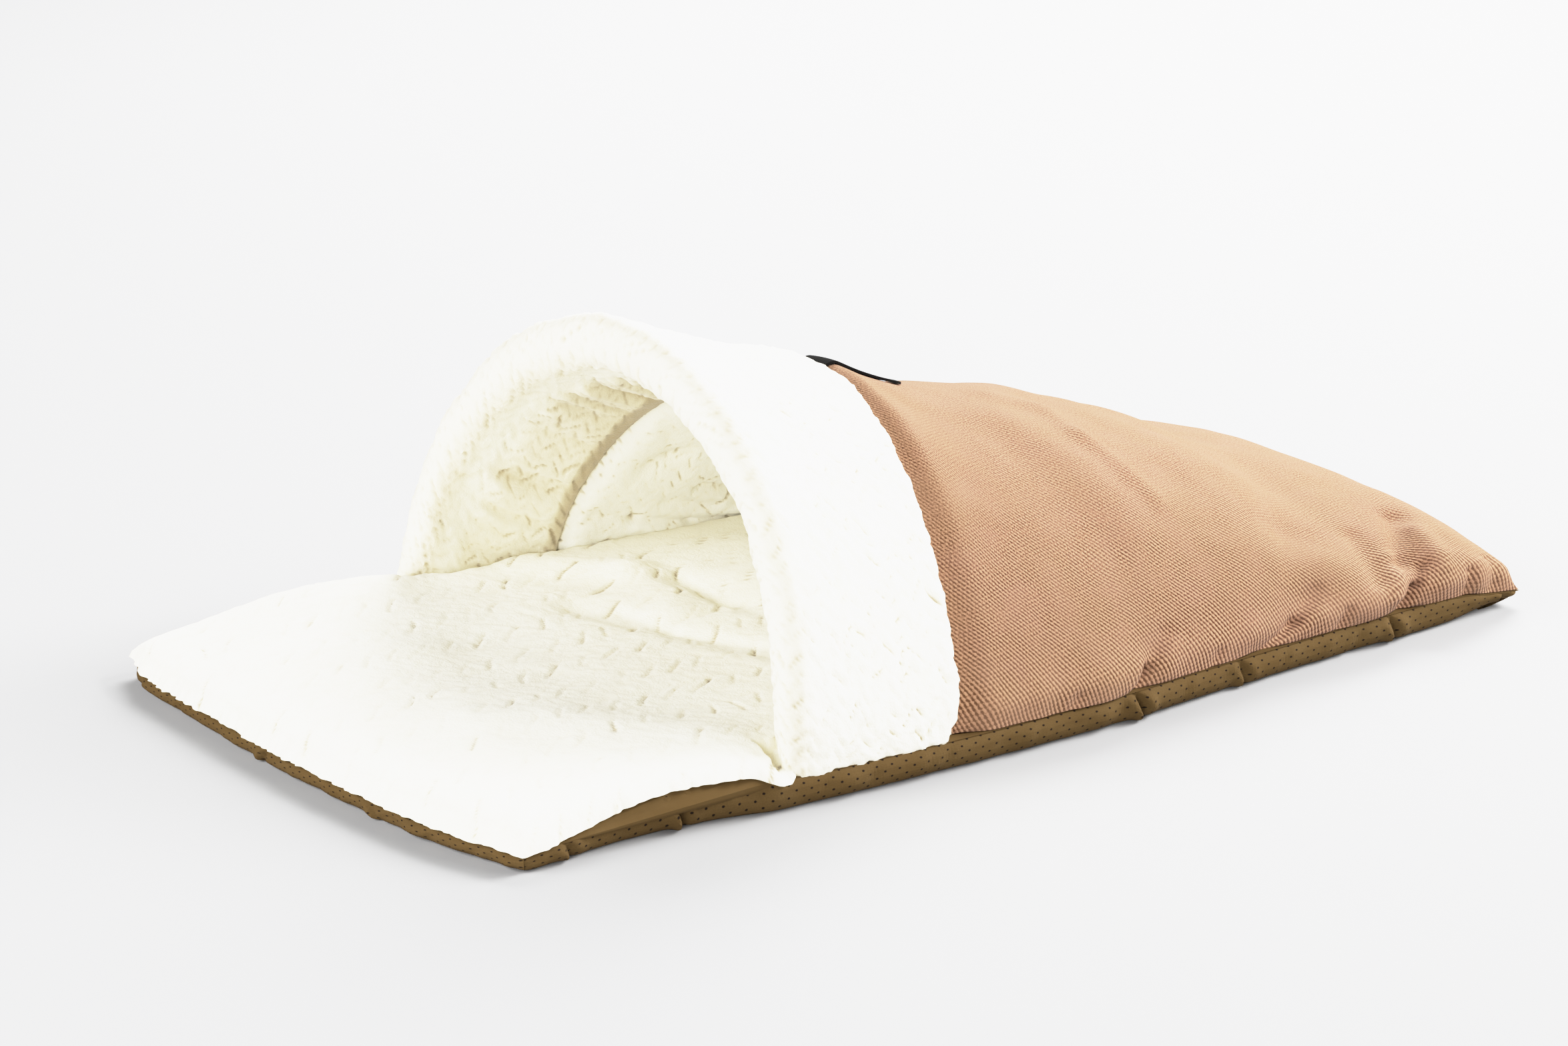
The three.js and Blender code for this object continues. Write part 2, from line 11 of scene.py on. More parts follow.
import bpy
import numpy as np
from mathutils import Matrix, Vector


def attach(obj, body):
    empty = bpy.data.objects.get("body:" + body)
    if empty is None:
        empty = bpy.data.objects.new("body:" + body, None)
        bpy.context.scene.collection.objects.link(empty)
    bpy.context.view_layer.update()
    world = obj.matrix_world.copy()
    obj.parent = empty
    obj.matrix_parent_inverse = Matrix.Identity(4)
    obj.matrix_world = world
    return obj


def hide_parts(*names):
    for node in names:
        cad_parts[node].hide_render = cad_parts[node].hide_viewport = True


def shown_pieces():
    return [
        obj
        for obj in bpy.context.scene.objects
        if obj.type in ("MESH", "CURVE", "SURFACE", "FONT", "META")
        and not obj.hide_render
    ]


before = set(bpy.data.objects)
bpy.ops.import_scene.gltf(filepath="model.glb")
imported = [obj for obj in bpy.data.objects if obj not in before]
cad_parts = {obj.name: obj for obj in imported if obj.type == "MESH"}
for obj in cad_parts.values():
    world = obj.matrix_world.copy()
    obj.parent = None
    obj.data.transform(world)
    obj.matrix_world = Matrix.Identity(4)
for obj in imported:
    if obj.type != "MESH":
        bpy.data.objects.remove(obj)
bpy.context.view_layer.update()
scene = bpy.context.scene
print("packed nodes:", sorted(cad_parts))

# %% [markdown]
# ## The camera
# The camera stands where the photographer stood: a long lens from a few metres away, a
# little above the bed and in front of its near side. A long lens keeps the far edge of
# the mat almost as large as the near one, so it is set first and left alone.

# %% Camera
AZIMUTH, ELEVATION, AWAY = math.radians(54.4), math.radians(17.0), 3.553
LOOK_AT = Vector((-0.26795, 0.13845, 0))

back = Vector((math.sin(AZIMUTH) * math.cos(ELEVATION),
               -math.cos(AZIMUTH) * math.cos(ELEVATION), math.sin(ELEVATION)))
camera = bpy.data.objects.new("camera", bpy.data.cameras.new("camera"))
scene.collection.objects.link(camera)
camera.location = LOOK_AT + back * AWAY
camera.rotation_euler = (-back).to_track_quat("-Z", "Y").to_euler()
camera.data.lens, camera.data.sensor_width = 107.2, 36
scene.camera = camera
print("camera at", tuple(round(v, 3) for v in camera.location))

# %% [markdown]
# ## The pattern of the bed
# A maker works from a paper pattern, and here the pattern is a few short tables in
# millimetres. Each one gives a measure at a few stations, and a smooth curve runs
# between them. x runs across the bed, y along it towards the foot end, and t is the
# station along the side seam where the hood is sewn on.

# %% Tables
def table(names, *rows):
    return dict(zip(names.split(), np.array(rows, float).T))


SEAM = table("y z", (-450, 12), (-419, 11.5), (-405, 12.5), (-386, 15.5), (-360, 20),
             (-330, 25), (-301, 28), (-256, 27.5), (-234.4, 24), (-200, 21.5),
             (-134, 21), (370, 21), (395, 19.5), (420, 15), (449.5, 11.5))
OUTLINE = table("y near far", (-440, 233, 239), (-400, 229, 240), (-360, 226, 244),
                (-320, 225, 247), (-280, 228, 248), (-250, 233.5, 243.5),
                (-232, 238.5, 239.4), (-134, 239.5, 239.5), (-86, 239.5, 239.5),
                (19, 237, 237), (142, 225, 225), (230, 217, 217), (310, 210, 210),
                (390, 206, 206), (449.5, 200, 200))
FRONT_BOW = table("u shift", (-1, 7), (-0.8, -6), (-0.1, -10), (0.6, -1), (1, 21))
FILL = table("y z", (-440, 24), (-400, 26.5), (-350, 30), (-300, 32), (-100, 31),
             (100, 31), (300, 29), (400, 25), (449.5, 20))
HOOD = table("t half lean spread crown tent swell",
             (-245, 238, 33, .81, 272, 1, .02), (-225, 238, 33, .81, 267, 1.02, .02),
             (-175, 238.3, 38, 1.13, 246, 1.2, .02), (-86, 238.5, 51, 1.5, 216.5, 1.5, .02),
             (19, 236, 11, 1.5, 183.5, 1.3, .02),
             (142, 224, 4, 1.5, 164, 1.17, .02), (230, 216, 0, 1.5, 134, 1, .02),
             (310, 209, 0, 1.5, 96, .8, .02), (390, 205, 0, 1.5, 78, .55, .01),
             (425, 201.5, 0, 1.5, 58, .5, 0), (441, 200, 0, 1.5, 34, .5, 0),
             (449, 199, 0, 1.5, 13.1, .5, 0))
MAT_FOLDS = table("x1 y1 x2 y2 wide high", (60, -350, 190, -240, 26, 5),
                  (-208, -330, -212, -250, 26, 4.5), (-65, -263, -20, -290, 52, -5),
                  (-98, -73, -24, -66, 16, -5), (-89, -167, 65, -115, 16, -5),
                  (40, 80, -120, 140, 30, -4))
HOOD_FOLDS = table("t1 a1 t2 a2 wide high", (156, 84, 176, 54, 27, -4),
                   (76, 74, 104, 44, 24, 4), (80, 12, 66, 0, 15, -4),
                   (40, 10, 36, 3, 26, 4), (185, 1, 235, 13, 18, -4),
                   (289, 58, 250, 38, 26, -4), (250, 38, 206, 10, 20, -3),
                   (262, 26, 292, 8, 28, 5), (368, 42, 335, 20, 13, -7.5),
                   (342, 20, 326, 0, 14, -3.5), (312, 36, 306, 14, 11, -3.5),
                   (372, 16, 366, 6, 18, 4), (120, 108, 210, 126, 26, -5),
                   (300, 150, 344, 174, 22, -8), (90, 168, 82, 178, 20, -5),
                   (260, 90, 330, 76, 34, 4))
PUCKERS = table("x y deep", (238, -386, 3), (225, -301, 6), (237, 66, 5), (223, 167, 3),
                (210, 316, 4), (201, 436, 3), (-30, -450, 3), (98, -444, 3),
                (-244, -330, 4), (-237, 22, 4), (-218, 216, 4), (60, 449, 4),
                (-110, 449, 4))
FLOOR_CREASES = table("x1 y1 x2 y2 wide high", (-143, -60, -108, -69, 7, -1),
                      (-108, -69, -50, -74, 7, -1.4), (-50, -74, -30, -56, 6, -1.4),
                      (-67, -147, -17, -139, 6, -1.6), (-17, -139, 53, -108, 6, -2),
                      (-27, -134, -30, -88, 6, -1.4), (-205, -140, -138, -95, 18, 3),
                      (-138, -95, -50, -112, 18, 2.5), (-190, -170, -120, -128, 18, -2))
LINING_CREASES = table("t1 a1 t2 a2 wide high", (-92, 157, -48, 161, 5, -3.5),
                       (-48, 161, 8, 168, 5, -5), (8, 168, 52, 170, 5, -4),
                       (2, 153, 34, 157, 5.5, -5), (34, 157, 46, 163, 6, -4),
                       (-27, 156, 22, 162, 6, -2.5), (-88, 155, -55, 157, 4.5, -1.5),
                       (-106, 125, -56, 139, 5, -1.8), (-70, 141, -50, 138, 12, -4.5),
                       (-20, 146, 20, 148, 13, 2.5), (-40, 165, 10, 172, 11, 2.5),
                       (-30, 30, 10, 14, 10, -5), (-80, 20, -30, 12, 9, -4),
                       (40, 60, 90, 120, 12, -4), (140, 40, 180, 100, 14, -5))
HOOD_CREASES = table("t1 a1 t2 a2 wide high", (65, 0, 75, 7.5, 4.5, -5.5), (75, 7.5, 97, 16, 7, -3),
                     (58, 1, 66, 9, 9, 2.5), (92, 0, 96, 12, 12, 2),
                     (193, 0, 221, 7, 5, -5), (221, 7, 246, 16, 8, -3),
                     (206, 0, 240, 8, 9, 2.5), (352, 17, 340, 8, 4.5, -4),
                     (340, 8, 327, 0, 4.5, -6), (330, 24, 318, 7, 10, 4),
                     (372, 34, 366, 12, 9, 3), (392, 7, 392, 0, 4.5, -4),
                     (405, 10, 402, 2, 11, 2), (420, 0, 418, 14, 6, -2),
                     (128, 79, 125, 67, 11, 2), (125, 67, 142, 48, 10, 2.4),
                     (100, 85, 128, 79, 12, 1.5),
                     (6, 0, 10, 6, 5, -2.5), (140, 0, 143, 6, 5, -2.5), (262, 0, 268, 7, 5, -3),
                     (110, 178, 118, 170, 6, -5), (240, 179, 262, 168, 7, -5),
                     (338, 179, 350, 160, 8, -6), (20, 179, 22, 174, 5, -3), (180, 100, 300, 112, 12, -2))
print("folds on the hood:", len(HOOD_FOLDS["t1"]), "large and", len(HOOD_CREASES["t1"]), "small")

# %% Reading the tables
def mix(a, b, share):
    return a + (b - a) * share


def ease(value, start, end):
    share = np.clip((value - start) / (end - start), 0, 1)
    return share * share * (3 - 2 * share)


def swell_up(share):
    return np.sqrt(1 - (1 - np.clip(share, 0, 1)) ** 2)


def curved(rows, key, at, value):
    """A smooth reading of one column that never overshoots its rows."""
    xs, ys = rows[at], rows[key]
    step = np.diff(ys) / np.diff(xs)
    both = step[:-1] * step[1:] > 0
    inner = np.where(both, 2 * step[:-1] * step[1:] / np.where(both, step[:-1] + step[1:], 1), 0)
    slope = np.concatenate([step[:1], inner, step[-1:]])
    i = np.clip(np.searchsorted(xs, value), 1, len(xs) - 1)
    run = xs[i] - xs[i - 1]
    f = np.clip((value - xs[i - 1]) / run, 0, 1)
    g = 1 - f
    return (ys[i - 1] * (1 + 2 * f) * g * g + slope[i - 1] * run * f * g * g
            + ys[i] * f * f * (3 - 2 * f) - slope[i] * run * f * f * g)


def folds(x, y, rows):
    """Height of all the soft folds of a table, each drawn between two ends."""
    total = np.zeros(np.broadcast(x, y).shape)
    for x1, y1, x2, y2, wide, high in zip(*rows.values()):
        dx, dy = x2 - x1, y2 - y1
        f = np.clip(((x - x1) * dx + (y - y1) * dy) / (dx * dx + dy * dy), 0, 1)
        total += high * np.exp(-((x - x1 - dx * f) ** 2 + (y - y1 - dy * f) ** 2) / wide ** 2)
    return total


def seam_height(y):
    return np.interp(y, SEAM["y"], SEAM["z"])


print("seam height in the middle:", seam_height(0.0), "mm")

# %% [markdown]
# ## Unevenness
# Nothing sewn is perfectly even, so every piece takes a little random relief. Random
# heights on a square net, blended between the net's points, give a soft relief of one
# size. The numbers come from a fixed seed, so the bed looks the same every time.

# %% Soft random relief
NET = np.random.default_rng(7).random((256, 256)) * 2 - 1


def relief(x, y, size, shift=0):
    """Smooth random values from -1 to 1, with lumps about size apart."""
    x, y = x / size + 17.3 * shift, y / size + 31.7 * shift
    i, j = np.floor(x).astype(int), np.floor(y).astype(int)
    fx, fy = ease(x - i, 0, 1), ease(y - j, 0, 1)
    row = mix(NET[i % 256, j % 256], NET[(i + 1) % 256, j % 256], fx)
    next_row = mix(NET[i % 256, (j + 1) % 256], NET[(i + 1) % 256, (j + 1) % 256], fx)
    return mix(row, next_row, fy)


print("relief at one place:", round(float(relief(np.array(3.0), np.array(5.0), 10)), 3))

# %% [markdown]
# ## Plush
# The plush is a knitted cloth whose pile is sheared into slanted tufts. They lean one
# way in one column and the other way in the next, which reads as a herringbone. Each
# tuft is about 13 mm long, with a narrow furrow between it and the next that is deep in
# one place and almost closed in another. On the open mat the pile has parted into tufts
# nearly twice that size. The furrows are real relief in the mesh, because they also show
# along the outline.

# %% Herringbone tufts
TUFT_LONG, TUFT_WIDE, TUFT_SLANT = 13.0, 12.6, 0.95


def tufts(u, v, shift=0, other=1.0, size=1.0):
    """Height of the pile, 0 to about 1: other weakens every second column, size enlarges tufts."""
    u, v = u / size, v / size
    u = u + 4.6 * relief(u, v, 31, shift) + 2.6 * relief(u, v, 12, shift + 1)
    v = v + 3.0 * relief(v, u, 40, shift + 3) + 2.2 * relief(v, u, 14, shift + 2)
    column = np.floor(v / TUFT_WIDE)
    j = column.astype(int) * 13 + 5
    across = v / TUFT_WIDE - column
    slant = np.where(column % 2, -TUFT_SLANT, TUFT_SLANT)
    along = u / TUFT_LONG + slant * (across - 0.5) + 0.5 * NET[3, j % 256]
    i, nearest = np.floor(along).astype(int) * 7 + 11, np.rint(along).astype(int) * 5 + 3
    luck = 0.5 + 0.5 * NET[i % 256, j % 256]
    crease = 0.4 + 0.6 * (0.5 + 0.5 * NET[nearest % 256, (j + 71) % 256]) ** 1.5
    crease = crease * np.where(column % 2, other, 1.0)
    from_crease = np.abs(along - np.rint(along)) * TUFT_LONG
    from_column = np.abs(v / TUFT_WIDE - np.rint(v / TUFT_WIDE)) * TUFT_WIDE
    slit = crease * np.exp(-(from_crease * size / 1.7) ** 2) * (1 - np.exp(-(from_column / 1.5) ** 2))
    gap = 0.16 * luck * np.exp(-(from_column / 1.8) ** 2)
    crown = 0.10 * np.cos((across - 0.5) * np.pi) * (0.4 + luck)
    return 0.86 - np.maximum(slit, gap) * 0.86 + crown + 0.16 * relief(u, v, 3.2, shift + 5)


def furrow_of(pile):
    return np.clip(1 - pile / 0.86, 0, 1)


print("tuft height mid-tuft:", round(float(tufts(np.array(6.0), np.array(6.0))), 2))

# %% [markdown]
# ## From a pattern to a mesh
# A sheet of cloth starts as a grid primitive. Its vertices are moved on to the points
# of the pattern, the way cloth is laid on a form. A second, coarser grid is the back
# of the cloth, and bridging the two rims closes the piece.

# %% Sheets from grid primitives
MIDDLE = np.array([4.7, 0.7, 0.0])


def deselect():
    bpy.ops.object.select_all(action="DESELECT")


def laid_grid(name, points, flat=None, furrow_shade=None):
    """A grid primitive laid on points[row, column], in mm, with its flat cloth places as UVs."""
    rows, columns = points.shape[:2]
    deselect()
    bpy.ops.mesh.primitive_grid_add(x_subdivisions=columns - 1, y_subdivisions=rows - 1, size=1)
    piece = bpy.context.object
    piece.name = piece.data.name = name
    mesh = piece.data
    place = np.zeros(len(mesh.vertices) * 3)
    mesh.vertices.foreach_get("co", place)
    place = place.reshape(-1, 3)
    j = np.rint((place[:, 0] + 0.5) * (columns - 1)).astype(int)
    i = np.rint((place[:, 1] + 0.5) * (rows - 1)).astype(int)
    mesh.vertices.foreach_set("co", ((points[i, j] + MIDDLE) / 1000).ravel())
    corners = np.zeros(len(mesh.loops), int)
    mesh.loops.foreach_get("vertex_index", corners)
    layer = mesh.uv_layers[0]
    layer.name = "cloth"
    flat = np.zeros((rows, columns, 2)) if flat is None else flat / 1000
    layer.data.foreach_set("uv", flat[i, j][corners].ravel())
    # The furrow attribute holds how much painted shade the plush material puts at each point.
    depth = mesh.attributes.new("furrow_shade", "FLOAT", "POINT")
    depth.data.foreach_set("value", np.zeros(len(place)) if furrow_shade is None else furrow_shade[i, j])
    mesh.update()
    return piece


def only(*pieces):
    """Selects just these pieces and makes the first one active."""
    deselect()
    for piece in pieces:
        piece.select_set(True)
    bpy.context.view_layer.objects.active = pieces[0]

def edit(piece, *steps):
    """Runs edit mode steps on one piece."""
    only(piece)
    bpy.ops.object.mode_set(mode="EDIT")
    bpy.ops.mesh.select_mode(type="EDGE")
    for step in steps:
        step()
    bpy.ops.object.mode_set(mode="OBJECT")


def joined(first, *others):
    only(first, *others)
    bpy.ops.object.join()
    return first


def rims():
    bpy.ops.mesh.select_all(action="DESELECT")
    bpy.ops.mesh.select_non_manifold(extend=False)


def face_out():
    bpy.ops.mesh.select_all(action="SELECT")
    bpy.ops.mesh.normals_make_consistent(inside=False)


def closed_sheet(name, front, back, flat=None, furrow_shade=None):
    """A sheet of cloth: its shown face, its coarser back and the bridge between their rims."""
    piece = joined(laid_grid(name, front, flat, furrow_shade), laid_grid(name + "_back", back))
    edit(piece, rims, bpy.ops.mesh.bridge_edge_loops, face_out)
    bpy.ops.object.shade_smooth_by_angle(angle=math.radians(60))
    return piece


def normals_of(points):
    """The direction square to a grid of points, row by row and column by column."""
    n = np.cross(np.gradient(points, axis=1), np.gradient(points, axis=0))
    return n / np.maximum(np.linalg.norm(n, axis=2, keepdims=True), 1e-9)


def lengths(points, axis):
    """Distance along a grid of points, from its first row or column."""
    step = np.linalg.norm(np.diff(points, axis=axis), axis=2)
    zero = np.zeros_like(np.take(step, [0], axis=axis))
    return np.concatenate([zero, np.cumsum(step, axis=axis)], axis=axis)


def stations(*runs):
    """Places along a line: each run is (start, end, step)."""
    parts = [np.linspace(a, b, max(2, int(round(abs(b - a) / s)) + 1))[:-1] for a, b, s in runs]
    return np.concatenate([*parts, [runs[-1][1]]])


print("helpers ready")

# %% [markdown]
# ## The filled mat
# The mat is a bag of brown cloth filled with loose fibre. Its side rises from the floor
# to the seam as a soft roll, and it is nipped in wherever the seam gathers the cloth.
# The side is one ring of cloth that follows the outline of the bed.

# %% Plan and crown of the mat
BED_FRONT, BED_REAR, BOW_END = -440, 449.5, -330
PLUSH_FRONT, PLUSH_REAR = -443.6, 407
RIM_START, FOOT_WIDTH, SEW_GAP = -232, 27.4, 0.4


def mat_plan(row, across):
    """x, y and distance in from the long edges, for across from -1 (far edge) to 1 (near edge)."""
    near, far = curved(OUTLINE, "near", "y", row), curved(OUTLINE, "far", "y", row)
    x = mix(-far, near, (across + 1) / 2)
    u = np.where(x > 0, x / near, x / far)
    bow = curved(FRONT_BOW, "shift", "u", u) * (1 - ease(row, BED_FRONT, BOW_END))
    return x, row + bow, np.minimum(near - x, x + far)


def fill_top(x, y, row, inset):
    """Top of the filling: rolled edges on the tongue, a flat rim where the hood is sewn on."""
    seam = seam_height(y)
    full = curved(FILL, "z", "y", y) + folds(x, y, MAT_FOLDS)
    tongue = swell_up(inset / 30) * swell_up((row - BED_FRONT) / 34)
    inside = swell_up((inset - FOOT_WIDTH) / 18) * swell_up((PLUSH_REAR - row) / 34)
    share = np.where(inset <= FOOT_WIDTH, row >= RIM_START, ease(row, RIM_START, -186))
    return seam + (full - seam) * mix(tongue, inside, share)


def mat_points(rows, across):
    row, across = np.meshgrid(rows, across, indexing="ij")
    x, y, inset = mat_plan(row, across)
    return np.stack([x, y, fill_top(x, y, row, inset)], 2)


def outline_ring(step=2.4):
    """The seam round the mat as one closed line, its corners a little rounded."""
    side, end = stations((BED_FRONT, BED_REAR, step)), stations((1, -1, step / 235))
    parts = [(side, np.ones_like(side)), (np.full_like(end, BED_REAR), end),
             (side[::-1], -np.ones_like(side)), (np.full_like(end, BED_FRONT), end[::-1])]
    line = np.concatenate([np.stack(mat_plan(row, across)[:2], 1)[:-1] for row, across in parts])
    reach = np.arange(-9, 10)
    weight = np.exp(-(reach / 3.2) ** 2)
    return sum(np.roll(line, k, axis=0) * w for k, w in zip(reach, weight)) / weight.sum()


ring = outline_ring()
print("seam round the mat:", round(float(np.linalg.norm(np.diff(ring, axis=0), axis=1).sum())), "mm")

# %% Side of the mat
BAND = table("down share out", (0, 1, -2.5), (.08, .97, -.2), (.2, .86, 1.7), (.38, .68, 2.9),
             (.55, .48, 2.7), (.7, .3, 1.3), (.83, .14, -1.4), (.92, .04, -5), (1, 0, -9))


def ring_frame(line):
    """Outward direction and distance round a closed line."""
    ahead = np.roll(line, -1, axis=0) - np.roll(line, 1, axis=0)
    ahead /= np.linalg.norm(ahead, axis=1, keepdims=True)
    out = np.stack([ahead[:, 1], -ahead[:, 0]], 1)
    steps = np.linalg.norm(np.roll(line, -1, axis=0) - line, axis=1)
    return out, np.concatenate([[0], np.cumsum(steps)])


def nips(along, down, total):
    """Gathers of the side: a crease with a swell on both sides of it, slanting down the band."""
    push = np.zeros(np.broadcast(along, down).shape)
    belly = np.sin(np.pi * np.clip(down, .04, .96)) ** .6
    for x, y, deep in zip(PUCKERS["x"], PUCKERS["y"], PUCKERS["deep"]):
        at = around[np.argmin(((ring - (x, y)) ** 2).sum(1))]
        off = (along - at + total / 2) % total - total / 2 - 9 * (down - 0.3) * np.sign(x + 0.1)
        swell, crease = np.exp(-((np.abs(off) - 8) / 5) ** 2), np.exp(-(off / 3.0) ** 2)
        push += deep * belly * (0.5 * swell - 1.2 * crease)
        push += deep * 1.1 * np.exp(-((off + 4) / 3.4) ** 2) * ease(down, 0.35, 0.95)
    return push


def rear_corner(line):
    """1 at the two rear corners of the mat, fading out along both seams."""
    near = np.hypot(line[:, 0] - 200, line[:, 1] - BED_REAR)
    far = np.hypot(line[:, 0] + 200, line[:, 1] - BED_REAR)
    return np.exp(-(np.minimum(near, far) / 48) ** 2)


outward, around = ring_frame(ring)
down = np.linspace(0, 1, 15)
along = np.append(np.arange(len(ring)), 0)
total = around[-1]
s, k = around[:len(along)][None, :], down[:, None]
seam = seam_height(ring[along, 1])[None, :]
out = curved(BAND, "out", "down", k) + nips(s, k, total) - 22 * rear_corner(ring[along])[None, :] * k ** 1.4
wrinkle = 1.7 * relief(s, k * 26, 21, 2) + 1.0 * relief(s + 12 * k, k * 10, 7.5, 22)
out = out + wrinkle * np.sin(np.pi * np.clip(k, 0, 0.93)) ** 0.7
side = ring[along][None] + outward[along][None] * out[..., None]
lift = seam * curved(BAND, "share", "down", k)
side = np.concatenate([side, lift[..., None]], 2)
flat = np.stack([np.broadcast_to(s, lift.shape), np.broadcast_to(k * 34, lift.shape)], 2)
band = laid_grid("mat_underside_cloth", side, flat)
print("side of the mat:", len(band.data.vertices), "points")

# %% Close the mat
mat_top = laid_grid("mat_top", mat_points(stations((BED_FRONT, BED_REAR, 14)), np.linspace(-1, 1, 36)))


def weld():
    bpy.ops.mesh.select_all(action="SELECT")
    bpy.ops.mesh.remove_doubles(threshold=0.0001)


def rim_at(low, high):
    """Selects the rim edges whose ends lie between two heights, in metres."""
    def pick():
        rims()
        bpy.ops.object.mode_set(mode="OBJECT")
        mesh = bpy.context.object.data
        for edge in mesh.edges:
            z = [mesh.vertices[v].co.z for v in edge.vertices]
            edge.select = edge.select and min(z) >= low and max(z) <= high
        bpy.ops.object.mode_set(mode="EDIT")
    return pick


edit(band, weld, rim_at(-1, 0.001), bpy.ops.mesh.edge_face_add)
mat_body = joined(band, mat_top)
edit(mat_body, rims, bpy.ops.mesh.bridge_edge_loops, face_out)
print("filled mat:", len(mat_body.data.polygons), "faces")

# %% [markdown]
# ## Plush top of the mat
# One piece of plush covers the mat and runs in under the hood. It stands a little over
# the seam with a ragged edge, because the pile springs out where it is cut.

# %% Plush top
def mat_plush():
    rows = stations((PLUSH_FRONT, -60, 1.9), (-60, PLUSH_REAR, 5.5))
    edge = stations((0, 14, 1.9))
    width = stations((14, 466, 2.0))
    across = np.concatenate([edge, width[1:-1], 480 - edge[::-1]])
    row, share = np.meshgrid(rows, across / 240 - 1, indexing="ij")
    near, far = curved(OUTLINE, "near", "y", row), curved(OUTLINE, "far", "y", row)
    tuck = np.where(share > 0, -224, -231)
    tucked = ease(row, tuck, tuck + 16)
    over = mix(3.6, -14 - 7 * ease(row, -208, -180), tucked)
    x = mix(-far - over, near + over, (share + 1) / 2)
    inset = np.minimum(near - x, x + far)
    u = np.where(x > 0, x / near, x / far)
    bow = curved(FRONT_BOW, "shift", "u", np.clip(u, -1, 1)) * (1 - ease(row, BED_FRONT, BOW_END))
    y = row + bow
    base = fill_top(x, y, row, inset) + SEW_GAP
    edge_in = np.minimum(inset + over, row - PLUSH_FRONT)
    rag = relief(x, y, 7.5, 4) + 0.8 * relief(x, y, 3.6, 6)
    thick = mix(mix(0.8, 8.0, swell_up(edge_in / 9)), 8 + 4.5 * np.exp(-(edge_in / 15) ** 2), tucked)
    thick -= 5.5 * np.exp(-((y + 226) / 18) ** 2) * np.exp(-(inset / 24) ** 2) * (1 - tucked)
    thick += folds(x, y, FLOOR_CREASES)
    top = np.stack([x, y, base + thick + 1.1 * relief(x, y, 34, 21)], 2)
    face = -normals_of(top) * np.sign(-normals_of(top)[..., 2:])
    pile = tufts(y, x, 0, 0.2, 1.75)
    strength = mix(0.25, 1, ease(edge_in, 0, 8))
    top = top + face * ((pile - 0.75) * 2.6 * strength)[..., None]
    corner = np.exp(-((row - PLUSH_FRONT) / 18) ** 2 - ((inset + over) / 18) ** 2)
    push = rag * 2.0 * (1 - ease(edge_in, 0, 9)) * (1 - tucked) * (1 - 0.9 * corner)
    top[..., 0] += np.sign(x) * push * (inset + over < 8)
    top[..., 1] -= push * (row - PLUSH_FRONT < 8)
    back_rows, back_across = stations((BED_FRONT, PLUSH_REAR - 2, 13)), np.linspace(-1, 1, 40)
    r, c = np.meshgrid(back_rows, back_across, indexing="ij")
    narrow = np.where(r > RIM_START, 1 - (FOOT_WIDTH + 3) / 240, 0.995)
    bx, by, bi = mat_plan(r, c * narrow)
    under = np.stack([bx, by, fill_top(bx, by, r, bi) + SEW_GAP], 2)
    # Painted shade, added to the furrow colour: it grows from y -250 to -130, where the plush runs in under
    # the hood.
    furrow_shade = furrow_of(pile) + 0.16 * ease(y, -250, -130)
    return closed_sheet("mat_plush", top, under, np.stack([x, y], 2), furrow_shade)


mat_top_plush = mat_plush()
print("mat plush:", len(mat_top_plush.data.polygons), "faces")

# %% [markdown]
# ## The hood
# Sewn down along both sides, the hood stands up in an arch at the mouth and sinks to the
# foot end. Each section of it is an arch that leans back, and its height, width and
# pointedness come from the table. Folds are added square to the surface.

# %% Sections of the hood
WALL, TWILL_BACK, LINING_BACK = 25, 15.4, 15.8
HOOD_FRONT, HOOD_REAR, CUFF_REAR = -206, 449, -86
CROWN_EXTRA, ARCH = 0.25, 175


def on_arch(rows):
    """A table of folds with its angles up the arch turned into millimetres of arch."""
    return dict(rows, a1=np.radians(rows["a1"]) * ARCH, a2=np.radians(rows["a2"]) * ARCH)


def hood_fold(t, a):
    return folds(t, ARCH * a, on_arch(HOOD_FOLDS))


def hood_points(t, a, depth):
    """Points of the hood wall: t along the seam, angle a up the arch, depth in from its skin."""
    read = {key: curved(HOOD, key, "t", t) for key in HOOD if key != "t"}
    rise = np.maximum(0, read["crown"] - seam_height(t))
    shrink = np.minimum(1, rise / 57)
    calm = ease(t, CUFF_REAR, -30) * ease(HOOD_REAR - t, 0, 20) * np.maximum(0, 1 - depth / WALL)
    up = np.clip(np.sin(a), 0, 1)
    d = depth * (1 + CROWN_EXTRA * (1 - ease(t, -60, 60)) * up ** 2) - hood_fold(t, a) * calm
    q = np.where(up < 1e-9, 0, up ** read["tent"])
    foot = t - depth * ease(t, 330, HOOD_REAR)
    half = curved(HOOD, "half", "t", foot) - d
    x = np.cos(a) * half * (1 + read["swell"] * 4 * q * (1 - q))
    y = foot + read["lean"] * q ** read["spread"]
    gap = SEW_GAP + 0.3 * ease(foot, 370, 390)
    return np.stack([x, y, seam_height(foot) + gap + np.maximum(0, rise - d * shrink) * q], 2)


def lip_extra(t, a, depth):
    """The lip is stuffed fuller than the wall, which fades out along the cuff's inner leg."""
    up = np.clip(np.sin(a), 0, 1)
    return 5.5 * up ** 0.6 * (1 - ease(t, -215, -125)) * depth / WALL


def cloth_depth(t, a):
    """Depth of the outer cloth: pinched under the cuff, a little proud round the label."""
    proud = 6 * np.exp(-((t - 8) / 45) ** 2 - (ARCH * (a - 1.5) / 30) ** 2)
    return 9.7 * (1 - ease(t, CUFF_REAR, -58)) - proud


def arch_angles(count, foot=1.0):
    """Angles up the arch, closer together near both feet."""
    share = np.linspace(0, 1, count)
    return np.pi * (share - foot * 0.05 * np.sin(4 * np.pi * share) / np.pi)


mouth_crown = hood_points(np.array([[-225.0]]), np.array([[np.pi / 2]]), 0)[0, 0, 2]
print("crown at the mouth:", round(float(mouth_crown)), "mm")

